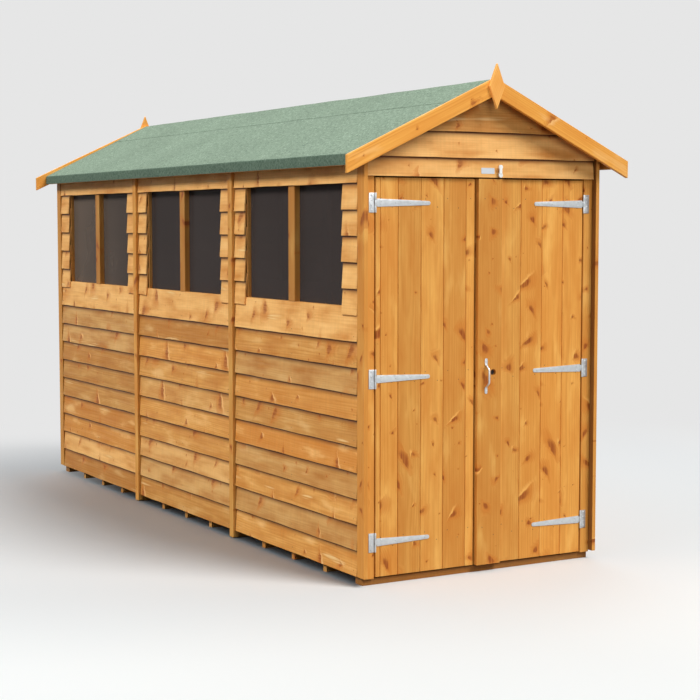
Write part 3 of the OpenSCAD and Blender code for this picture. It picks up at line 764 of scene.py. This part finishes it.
class SHED_OT_lapped_walls(bpy.types.Operator):
    """Lay the lapped boards of the four walls, course by course"""

    bl_idname = "shed.lapped_walls"
    bl_label = "Lapped walls"

    def lay(self, name, seed, node, wall, runs, saw=(), top=None):
        """Make the leaning boards of a wall. Each run has a span along it, two heights and the end that is
        ragged, if any; top is the tone of a run's last board, and of all the boards with a ragged end."""
        boards = bpy.context.scene.shed_boards
        cut_every = 90 * MM
        out, plane = WALLS[wall]
        along = UP.cross(out)
        lean = math.atan2(boards.lap_lean, boards.lap_w)
        up = (UP * math.cos(lean) - out * math.sin(lean)).normalized()
        face = up.cross(out.cross(up)).normalized()
        middle = out * (plane + boards.lap_proud - boards.lap_t / 2) + up * boards.lap_w / 2
        rng = random.Random(seed)
        group = timber_mesh(bmesh.new())
        for span, low, high, ragged in runs:
            count = math.ceil((high - low) / boards.course - 0.5)
            for k in range(count):
                ends = sorted(end * (along.x + along.y) for end in span)
                ends = [ends[0] + boards.end_gap, ends[1] - boards.end_gap]
                if ragged is not None:
                    ends[ragged] += rng.uniform(-boards.ragged, boards.ragged)
                foot = low + k * boards.course + rng.uniform(-boards.wane, boards.wane) / 2
                last = k == count - 1
                axes = board_axes(along, face, middle + along * sum(ends) / 2 + UP * foot)
                dims = (ends[1] - ends[0], boards.lap_w, boards.lap_t)
                lay_board(group, dims, axes, rng, boards.edge, cuts=max(1, round(dims[0] / cut_every)),
                          wane=boards.wane, saw=saw,
                          lap_line=None if last and ragged is None else boards.course,
                          shade=top if last or ragged is not None else None)
        piece(group, name, "shed", "lapped_softwood", "timber", node)

    def execute(self, context):
        boards = context.scene.shed_boards
        course = boards.course
        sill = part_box("left_lower_cladding")[1].z - boards.lap_w + course
        roof_cuts = [(Vector((0, 0, RIDGE)), Vector((side * RISE, 0, 1)).normalized()) for side in (-1, 1)]

        runs = [((low.y, high.y), low.z, sill, None) for low, high in solids("left_lower_cladding")]
        self.lay("left_lower_boards", "left lower boards", "left_lower_cladding", "left", runs, top=PALE)

        windows = [(low.y + high.y) / 2 for low, high in solids("window_mullions")]
        runs = []
        for low, high in solids("left_window_stubs"):
            middle = (low.y + high.y) / 2
            window = min(windows, key=lambda y: abs(y - middle))
            runs.append(((low.y, high.y), low.z, HEAD, int(window < middle)))
        self.lay("left_stub_boards", "left window stubs", "left_window_stubs", "left", runs, top=PALE)

        # The eave boards take the pale tone, painted light against the shadow of the eaves
        runs = [((low.y, high.y), low.z, low.z + course, None) for low, high in solids("left_top_boards")]
        self.lay("left_eave_boards", "left top boards", "left_top_boards", "left", runs, roof_cuts[:1], PALE)

        runs = [((low.y, high.y), low.z, HEAD + course, None) for low, high in solids("right_cladding")]
        self.lay("right_wall_boards", "right boards", "right_cladding", "right", runs, roof_cuts[1:])

        low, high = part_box("back_cladding")
        runs = [((low.x, high.x), low.z, high.z - course / 2, None)]
        self.lay("back_wall_boards", "back boards", "back_cladding", "back", runs, roof_cuts)

        low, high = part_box("front_gable_cladding")
        first = HEAD + course * math.floor((low.z - HEAD) / course)
        runs = [((low.x, high.x), first, high.z - course / 2, None)]
        door_cut = (Vector((0, 0, low.z)), -UP)
        self.lay("front_gable_boards", "gable boards", "front_gable_cladding", "front", runs,
                 [*roof_cuts, door_cut])
        return {"FINISHED"}


class SHED_OT_roof_and_floor(bpy.types.Operator):
    """Lay the boards under the felt and the boards of the floor"""

    bl_idname = "shed.roof_and_floor"
    bl_label = "Roof and floor boards"

    def row(self, name, seed, node, start, way, run, dims, out):
        """Make a row of boards that fills a run. Dims are a board's length, about its width, and its
        thickness."""
        boards = bpy.context.scene.shed_boards
        rng = random.Random(seed)
        group = timber_mesh(bmesh.new())
        count = round(run / dims[1])
        for k in range(count):
            axes = board_axes(ALONG, out, start + way * run * (k + 0.5) / count)
            lay_board(group, (dims[0], run / count - boards.shrink, dims[2]), axes, rng, boards.edge)
        piece(group, name, "shed", "sawn_softwood", "sawn_timber", node)

    def execute(self, context):
        boards = context.scene.shed_boards
        for side, node in ((-1, "left_roof_boards"), (1, "right_roof_boards")):
            low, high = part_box(node)
            across = high.x - low.x
            thick = (high.z - low.z) * math.cos(PITCH) - across * math.sin(PITCH)
            out = Vector((side * RISE, 0, 1)).normalized()
            down = Vector((side * math.cos(PITCH), 0, -math.sin(PITCH)))
            self.row(f"{node}_laid", node, node, Vector((0, 0, high.z)) - out * thick / 2, down,
                     across / math.cos(PITCH), (high.y - low.y, boards.roof_w, thick), out)
        low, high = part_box("floor_deck")
        start = (low + high) / 2
        start.x = low.x
        self.row("floor_boards", "floor boards", "floor_deck", start, Vector((1, 0, 0)), high.x - low.x,
                 (high.y - low.y, boards.deck_w, high.z - low.z), UP)
        return {"FINISHED"}


class SHED_OT_roof_felt(bpy.types.Operator):
    """Lay the felt over the roof, folded down the eaves, with a strip over the ridge"""

    bl_idname = "shed.roof_felt"
    bl_label = "Roof felt"

    cap_w: size("Ridge strip", "How far the ridge strip reaches down each slope", 210)
    bend: size("Bend", "Radius of the felt's folds", 6)
    swell: size("Swell", "How far the felt swells off the boards", 1.6)

    def sheet(self, outline, span, thick):
        """Bmesh of a sheet that follows an outline of X-Z points along the roof."""
        along_cuts, across_cuts, swells_per_m = 140, 18, 4.5
        bm = bmesh.new()
        verts = [bm.verts.new((x, span[0], z)) for x, z in outline]
        edges = [bm.edges.new(pair) for pair in zip(verts, verts[1:])]
        made = bmesh.ops.extrude_edge_only(bm, edges=edges)["geom"]
        bmesh.ops.translate(bm, vec=(0, span[1] - span[0], 0), verts=made_of(bmesh.types.BMVert, made))
        bmesh.ops.recalc_face_normals(bm, faces=bm.faces)
        if sum(face.normal.z * face.calc_area() for face in bm.faces) < 0:
            bmesh.ops.reverse_faces(bm, faces=bm.faces)
        round_edges(bm, [e for e in bm.edges if len(e.link_faces) == 2], self.bend, segments=4)
        bmesh.ops.subdivide_edges(bm, edges=edges_along(bm, 1, WELD), cuts=along_cuts, use_grid_fill=True)
        across = edges_along(bm, 0, 5 * self.bend)
        bmesh.ops.subdivide_edges(bm, edges=across, cuts=across_cuts, use_grid_fill=True)
        bm.normal_update()
        drift = Vector((7, 0, 0))
        lift = [vert.normal * self.swell * noise.noise(vert.co * swells_per_m + drift) for vert in bm.verts]
        for vert, move in zip(bm.verts, lift):
            vert.co += move
        bmesh.ops.solidify(bm, geom=bm.faces, thickness=thick)
        return bm

    def execute(self, context):
        low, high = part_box("roof_felt")
        span = (low.y, high.y)
        thick = high.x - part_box("right_roof_boards")[1].x
        eave_z = high.z - RISE * high.x
        outline = [(low.x, low.z), (low.x, eave_z), (0, high.z), (high.x, eave_z), (high.x, low.z)]
        bm = self.sheet(outline, span, thick)
        cap_z = high.z - RISE * self.cap_w
        strip = self.sheet([(-self.cap_w, cap_z), (0, high.z), (self.cap_w, cap_z)], span, thick)
        bmesh.ops.translate(strip, vec=(0, 0, 0.5 * thick), verts=strip.verts)
        append(bm, strip)
        fold = bm.verts.layers.float.new("fold")
        for vert in bm.verts:
            vert[fold] = float(abs(vert.co.x) > high.x - thick)
        piece(bm, "mineral_felt", "shed", "green_mineral_felt", "green_felt", "roof_felt", smooth=True)
        return {"FINISHED"}


class SHED_OT_door_leaves(bpy.types.Operator):
    """Build the two ledged and braced doors from grooved boards"""

    bl_idname = "shed.door_leaves"
    bl_label = "Door leaves"

    def execute(self, context):
        boards = context.scene.shed_boards
        for side, rip in (("left", boards.left_rip), ("right", boards.right_rip)):
            node = f"{side}_door_boards"
            body = f"{side}_door"
            low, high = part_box(node)
            joints = [high.x - rip - k * boards.leaf_w for k in range(4)] + [low.x, high.x]
            if side == "left":
                joints.append(low.x + boards.hinge_rip)
            joints.sort()
            rng = random.Random(node)
            group = timber_mesh(bmesh.new())
            for near, far in zip(joints, joints[1:]):
                middle = (low + high) / 2
                middle.x = (near + far) / 2
                dims = (high.z - low.z, far - near - boards.shrink, high.y - low.y)
                lay_board(group, dims, board_axes(UP, OUT, middle), rng, boards.edge, groove=boards.groove)
            piece(group, f"{side}_leaf_boards", body, "planed_softwood", "timber", node)
            for part in ("ledges", "braces"):
                node = f"{side}_door_{part}"
                bm = dress_timbers(node, boards.edge)
                piece(bm, f"{side}_leaf_{part}", body, "sawn_softwood", "sawn_timber", node)
        bm = dress_timbers("meeting_board", boards.edge, DEEP)
        piece(bm, "meeting_board_timber", "right_door", "planed_softwood", "timber", "meeting_board")
        return {"FINISHED"}


def screw_head(bm, at, radius):
    """Append a domed screw head with a recess in it, facing forwards."""
    # In radii: the top's radius, the head's height, and how far its dome and then its recess lie in and rise
    taper, height = 0.72, 0.36
    insets = ((0.3, 0.08), (0.12, -0.3))
    head = bmesh.new()
    bmesh.ops.create_cone(head, cap_ends=True, segments=12, radius1=radius, radius2=taper * radius,
                          depth=height * radius, matrix=Matrix.Translation((0, 0, height * radius / 2)))
    top = [face for face in head.faces if face.normal.z > 0.9]
    for inside, rise in insets:
        bmesh.ops.inset_region(head, faces=top, thickness=inside * radius, depth=rise * radius)
    bmesh.ops.transform(head, matrix=facing(OUT, at), verts=head.verts)
    append(bm, head)


class SHED_OT_tee_hinges(bpy.types.Operator):
    """Dress the tee hinges and put in their screws"""

    bl_idname = "shed.tee_hinges"
    bl_label = "Tee hinges"

    plate_t: size("Plate", "Thickness of the hinges' plates", 2.5)
    burr: size("Rounding", "Rounding of the pressed edges", 0.5)

    def execute(self, context):
        radius = context.scene.shed_boards.screw_r
        # Screws of a hinge in millimetres: how far in from its outer edge, and how far up from its middle
        plate_screws = [(12, -30), (12, -10), (12, 10), (12, 30)]
        strap_screws = [(34.5, 8), (34.5, -8), (104.5, 0), (174.5, 0), (249.5, 0)]
        for node, body, screws in (("hinge_plates", "shed", plate_screws),
                                   ("left_hinge_straps", "left_door", strap_screws),
                                   ("right_hinge_straps", "right_door", strap_screws)):
            bm = merged(node)
            round_edges(bm, sharp_edges(bm), self.burr)
            for low, high in solids(node):
                middle = (low + high) / 2
                outer = max(-low.x, high.x)
                for inset, rise in screws:
                    x = math.copysign(outer - inset * MM, middle.x)
                    screw_head(bm, Vector((x, high.y - self.plate_t, middle.z + rise * MM)), radius)
            piece(bm, f"{node}_plated", body, "bright_zinc", "zinc", node, smooth=True)
        return {"FINISHED"}


class SHED_OT_bow_handle(bpy.types.Operator):
    """Bend the bow handle from one bar with flattened feet"""

    bl_idname = "shed.bow_handle"
    bl_label = "Bow handle"

    bar: size("Bar", "Radius of the bar", 4)
    foot: size("Foot", "Half the thickness of a flattened foot", 1.2)
    screw_r: size("Screw", "Radius of a screw head in a foot", 3.2)
    screw_up: size("Screw's place", "Distance of a screw from a foot's tip", 12)

    def stations(self, half, wide, grip):
        """Sections from tip to tip: height, distance off the board, and the bar's two radii."""
        bar, foot = self.bar, self.foot
        # Distance from the tip, and the rest as above
        upper = [(0, foot, 0.3 * wide, foot), (2, foot, 0.8 * wide, foot), (6, foot, wide, foot),
                 (22, foot, wide, foot), (27, 2 * MM, 0.8 * wide, 2.2 * MM), (32, 7 * MM, bar, bar),
                 (38, 13 * MM, bar, bar), (44, grip - 3 * MM, bar, bar), (50, grip, bar, bar)]
        upper = [(half - down * MM, *rest) for down, *rest in upper]
        lower = [(-z, *rest) for z, *rest in reversed(upper)]
        return [*upper, (0.0, grip, 1.1 * bar, bar), *lower]

    def execute(self, context):
        low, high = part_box("door_handle")
        x, middle = (low.x + high.x) / 2, (low.z + high.z) / 2
        half, wide = (high.z - low.z) / 2, (high.x - low.x) / 2
        stations = self.stations(half, wide, high.y - low.y - self.bar)
        bm = bmesh.new()
        ring = bmesh.ops.create_circle(bm, cap_ends=False, segments=16, radius=1.0)["verts"]
        unit = [vert.co.copy() for vert in ring]
        edges = bm.edges[:]
        for k, (z, off, a, b) in enumerate(stations):
            if k:
                made = bmesh.ops.extrude_edge_only(bm, edges=edges)["geom"]
                ring = made_of(bmesh.types.BMVert, made)
                edges = [edge for edge in made_of(bmesh.types.BMEdge, made)
                         if all(vert in ring for vert in edge.verts)]
            before, after = stations[max(k - 1, 0)], stations[min(k + 1, len(stations) - 1)]
            run = Vector((0, after[1] - before[1], after[0] - before[0])).normalized()
            for vert, flat in zip(ring, unit):
                lift = run * flat.y * b
                vert.co = (x + flat.x * a, high.y - off + lift.z, middle + z + lift.y)
        bmesh.ops.holes_fill(bm, edges=[e for e in bm.edges if len(e.link_faces) == 1], sides=0)
        bmesh.ops.recalc_face_normals(bm, faces=bm.faces)
        for end in (-1, 1):
            at = Vector((x, high.y - 2 * self.foot, middle + end * (half - self.screw_up)))
            screw_head(bm, at, self.screw_r)
        piece(bm, "bow_handle", "right_door", "bright_zinc", "zinc", "door_handle", smooth=True)
        return {"FINISHED"}


class SHED_OT_lock(bpy.types.Operator):
    """Set the lock's face behind its hole in the meeting board"""

    bl_idname = "shed.lock"
    bl_label = "Lock"

    hole_x: size("Across", "Distance of the hole from the middle", 45)
    hole_z: size("Up", "Height of the hole", 863)
    hole_r: size("Radius", "Radius of the lock's face", 13.3)
    face_t: size("Thickness", "Thickness of the lock's face", 3)

    def execute(self, context):
        # Rim, dish and pin of the face: how far each lies inside the last, and how far it rises
        insets = ((2 * MM, -1 * MM), (5 * MM, 0.0), (0.4 * MM, 2 * MM))
        burr = 0.2 * MM
        bm = bmesh.new()
        bmesh.ops.create_cone(bm, cap_ends=True, segments=32, radius1=self.hole_r, radius2=self.hole_r,
                              depth=self.face_t, matrix=Matrix.Translation((0, 0, self.face_t / 2)))
        top = [face for face in bm.faces if face.normal.z > 0.9]
        for inside, rise in insets:
            bmesh.ops.inset_region(bm, faces=top, thickness=inside, depth=rise)
        round_edges(bm, sharp_edges(bm), burr, segments=1)
        at = Vector((self.hole_x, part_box("left_door_boards")[0].y, self.hole_z))
        bmesh.ops.transform(bm, matrix=facing(OUT, at), verts=bm.verts)
        piece(bm, "lock_face", "right_door", "japanned_steel", "zinc", smooth=True)
        return {"FINISHED"}


class SHED_OT_turn_button(bpy.types.Operator):
    """Dress the turn button and its screw"""

    bl_idname = "shed.turn_button"
    bl_label = "Turn button"

    soft: size("Rounding", "Rounding of the moulded edges", 1.2)

    def execute(self, context):
        bm = merged("turn_button")
        round_edges(bm, sharp_edges(bm), self.soft, segments=3)
        bmesh.ops.dissolve_degenerate(bm, dist=WELD, edges=bm.edges)
        piece(bm, "nylon_button", "turn_button", "moulded_nylon", "white_plastic", "turn_button", smooth=True)
        pivot = next(joint for joint in frame["joints"] if joint["child"] == "turn_button")
        at = Vector(pivot["pos_m"])
        at.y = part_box("turn_button")[0].y
        bm = bmesh.new()
        screw_head(bm, at, context.scene.shed_boards.screw_r)
        piece(bm, "button_screw", "turn_button", "bright_zinc", "zinc", smooth=True)
        return {"FINISHED"}


class SHED_OT_name_plate(bpy.types.Operator):
    """Pin the bare plate over the doors"""

    bl_idname = "shed.name_plate"
    bl_label = "Bare plate"

    plate_w: size("Width", "Width of the plate", 68)
    plate_h: size("Height", "Height of the plate", 25)
    plate_t: size("Thickness", "Thickness of the plate", 1.2)
    plate_x: size("Across", "Distance of the plate from the middle", 13)
    plate_up: size("Up", "Height of the plate's middle above the doors", 28)

    def execute(self, context):
        corner, burr, pin_r, pin_in = 3 * MM, 0.3 * MM, 1.8 * MM, 6 * MM
        boards = context.scene.shed_boards
        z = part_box("front_gable_cladding")[0].z + self.plate_up
        lean = math.atan2(boards.lap_lean, boards.lap_w)
        proud = boards.lap_proud - math.tan(lean) * (z - HEAD)
        middle = Vector((self.plate_x, FRONT - proud - self.plate_t / 2, z))
        bm = bmesh.new()
        bmesh.ops.create_cube(bm, size=1.0)
        bmesh.ops.scale(bm, vec=(self.plate_w, self.plate_t, self.plate_h), verts=bm.verts)
        round_edges(bm, edges_along(bm, 1, WELD), corner, segments=4)
        round_edges(bm, sharp_edges(bm), burr, segments=1)
        for side in (-1, 1):
            screw_head(bm, Vector((side * (self.plate_w / 2 - pin_in), -self.plate_t / 2, 0)), pin_r)
        axes = Matrix.Translation(middle) @ Matrix.Rotation(-lean, 4, "X")
        bmesh.ops.transform(bm, matrix=axes, verts=bm.verts)
        piece(bm, "bare_name_plate", "shed", "rolled_aluminium", "zinc", smooth=True)
        return {"FINISHED"}


class SHED_OT_nails(bpy.types.Operator):
    """Drive the nails that hold the boards to the frames and the ledges"""

    bl_idname = "shed.nails"
    bl_label = "Nails"

    inset: size("From the end", "Distance of a nail from a lapped board's end", 30)
    up: size("From the edge", "Distance of a nail from a lapped board's lower edge", 22)
    head_t: size("Head", "Thickness of a nail's head", 1)

    def nail(self, bm, at, out, rng):
        """Append one nail head, a little off its mark."""
        radius = bpy.context.scene.shed_boards.nail_r
        at = at + UP.cross(out) * rng.uniform(-4, 4) * MM + UP * rng.uniform(-3, 3) * MM
        bmesh.ops.create_cone(bm, cap_ends=True, segments=8, radius1=radius, radius2=0.8 * radius,
                              depth=self.head_t, matrix=facing(out, at))

    def wall(self, bm, wall, ends, low, high, rng):
        """Nail each course between two heights near the ends and in the middle."""
        boards = bpy.context.scene.shed_boards
        out, plane = WALLS[wall]
        along = Vector((abs(out.y), abs(out.x), 0))
        face = plane + boards.lap_proud - boards.lap_lean * self.up / boards.lap_w
        for k in range(math.ceil((high - low) / boards.course - 0.5)):
            for spot in (ends[0] + self.inset, sum(ends) / 2, ends[1] - self.inset):
                at = along * spot + out * face + UP * (low + k * boards.course + self.up)
                self.nail(bm, at, out, rng)

    def execute(self, context):
        boards = context.scene.shed_boards
        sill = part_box("left_window_stubs")[0].z
        rng = random.Random("nails")
        bm = bmesh.new()
        for low, high in solids("left_lower_cladding"):
            self.wall(bm, "left", (low.y, high.y), low.z, sill, rng)
        for low, high in solids("right_cladding"):
            self.wall(bm, "right", (low.y, high.y), low.z, min(high.z, HEAD), rng)
        low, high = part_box("back_cladding")
        self.wall(bm, "back", (low.x, high.x), low.z, HEAD, rng)
        piece(bm, "wall_nails", "shed", "wire_steel", "zinc")
        meeting_low, meeting_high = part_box("meeting_board")
        for side in ("left", "right"):
            bm = bmesh.new()
            low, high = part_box(f"{side}_door_boards")
            count = round((high.x - low.x) / boards.leaf_w * 2)
            for ledge_low, ledge_high in solids(f"{side}_door_ledges"):
                for k in range(count):
                    x = low.x + (k + 0.5) * (high.x - low.x) / count
                    z = ledge_low.z + (0.3 if k % 2 else 0.7) * (ledge_high.z - ledge_low.z)
                    face = meeting_low.y if meeting_low.x < x < meeting_high.x else low.y
                    self.nail(bm, Vector((x, face, z)), OUT, rng)
            piece(bm, f"{side}_leaf_nails", f"{side}_door", "wire_steel", "zinc")
        return {"FINISHED"}


class SHED_OT_glazing(bpy.types.Operator):
    """Give the window sheets their finish"""

    bl_idname = "shed.glazing"
    bl_label = "Glazing"

    def execute(self, context):
        panes = frame["nodes"]["window_panes"]
        for slot in panes.material_slots:
            slot.material = finish("styrene_sheet")
        return {"FINISHED"}


class SHED_OT_stage(bpy.types.Operator):
    """Set up the floor, the light and the camera"""

    bl_idname = "shed.stage"
    bl_label = "Stage"

    def put(self, name, data, aim, at=(0, 0, 0)):
        """Add a lamp or the camera at a place, looking along a direction."""
        obj = bpy.data.objects.new(name, data)
        obj.location = at
        obj.rotation_euler = Vector(aim).to_track_quat("-Z", "Y").to_euler()
        bpy.context.scene.collection.objects.link(obj)
        return obj

    def lamps(self, stage, ground):
        """Add the lamps. The fill and the gable's light are flagged off the floor, which keeps the key's
        shadow."""
        flagged = bpy.data.collections.new("flagged_off")
        flagged.objects.link(ground)
        flagged.collection_objects[0].light_linking.link_state = "EXCLUDE"
        # Strength, the way the light shines, its spread in degrees and its colour
        suns = {"key_light": (stage.key, (-0.38, 0.7, -0.85), 28, (1.04, 1.0, 0.95)),
                "rear_light": (stage.rear, (-0.35, -0.85, -0.7), 50, (1.0, 1.0, 1.0)),
                "fill_light": (stage.fill, (0.85, 0.0, -0.75), 22, (1.0, 1.0, 1.0))}
        for name, (strength, aim, spread, tint) in suns.items():
            light = bpy.data.lights.new(name, "SUN")
            light.energy = strength
            light.angle = math.radians(spread)
            light.color = tint
            lamp = self.put(name, light, aim)
        lamp.light_linking.receiver_collection = flagged
        light = bpy.data.lights.new("gable_light", "AREA")
        light.energy = stage.gable
        light.size = stage.gable_w
        at = Vector(stage.gable_at)
        lamp = self.put("gable_light", light, Vector((0, FRONT, EAVE)) - at, at)
        lamp.light_linking.receiver_collection = flagged

    def sky(self, stage):
        """Make a soft dome that lights the object and a plain backdrop that is seen behind it."""
        tint = (0.84, 1.0, 1.1, 1.0)
        world = bpy.data.worlds.new("studio")
        world.use_nodes = True
        world.node_tree.nodes.clear()
        node = partial(add, world.node_tree)
        up = node("SeparateXYZ", node("TexCoord").outputs["Generated"]).outputs["Z"]
        dome = node("Background", tint, node("MapRange", up, 0.0, 1.0, stage.rim, stage.sky))
        wall = node("Background", stage.backdrop, 1.0)
        node("OutputWorld", node("MixShader", seen_by(node), dome, wall))
        return world

    def execute(self, context):
        scene = context.scene
        stage = scene.shed_stage
        bm = bmesh.new()
        bmesh.ops.create_circle(bm, cap_ends=True, segments=96, radius=stage.floor_r)
        ground = model(bm, "studio_floor", "painted_floor")
        self.lamps(stage, ground)
        scene.world = self.sky(stage)
        camera = bpy.data.cameras.new("camera")
        camera.lens = stage.lens
        camera.clip_end = 200
        turn, dip = stage.camera_turn, stage.camera_dip
        aim = (math.sin(turn) * math.cos(dip), math.cos(turn) * math.cos(dip), -math.sin(dip))
        scene.camera = self.put("camera", camera, aim, stage.camera_at)
        scene.view_settings.view_transform = "Standard"
        return {"FINISHED"}


class SHED_PT_dressing(bpy.types.Panel):
    """Steps that dress the shed"""

    bl_idname = "SHED_PT_dressing"
    bl_label = "Timber shed"
    bl_space_type = "VIEW_3D"
    bl_region_type = "UI"
    bl_category = "Shed"

    def draw(self, context):
        for operator in OPERATORS:
            self.layout.operator(operator.bl_idname)
        for group in GROUPS:
            box = self.layout.box()
            for name in GROUPS[group].__annotations__:
                box.prop(getattr(context.scene, group), name)


GROUPS = {"shed_boards": ShedBoards, "shed_finishes": ShedFinishes, "shed_stage": ShedStage}
OPERATORS = (SHED_OT_stage, SHED_OT_frame_timbers, SHED_OT_trim_timbers, SHED_OT_lapped_walls,
             SHED_OT_roof_and_floor, SHED_OT_roof_felt, SHED_OT_door_leaves, SHED_OT_tee_hinges,
             SHED_OT_bow_handle, SHED_OT_lock, SHED_OT_turn_button, SHED_OT_name_plate, SHED_OT_nails,
             SHED_OT_glazing)


def register():
    for cls in (*GROUPS.values(), *OPERATORS, SHED_PT_dressing):
        bpy.utils.register_class(cls)
    for name, group in GROUPS.items():
        setattr(bpy.types.Scene, name, PointerProperty(type=group))


def unregister():
    for name in GROUPS:
        delattr(bpy.types.Scene, name)
    for cls in (SHED_PT_dressing, *reversed(OPERATORS), *GROUPS.values()):
        bpy.utils.unregister_class(cls)


def main():
    """Register the add-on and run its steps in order."""
    register()
    for operator in OPERATORS:
        group, step = operator.bl_idname.split(".")
        getattr(getattr(bpy.ops, group), step)()


if __name__ == "__main__":
    main()
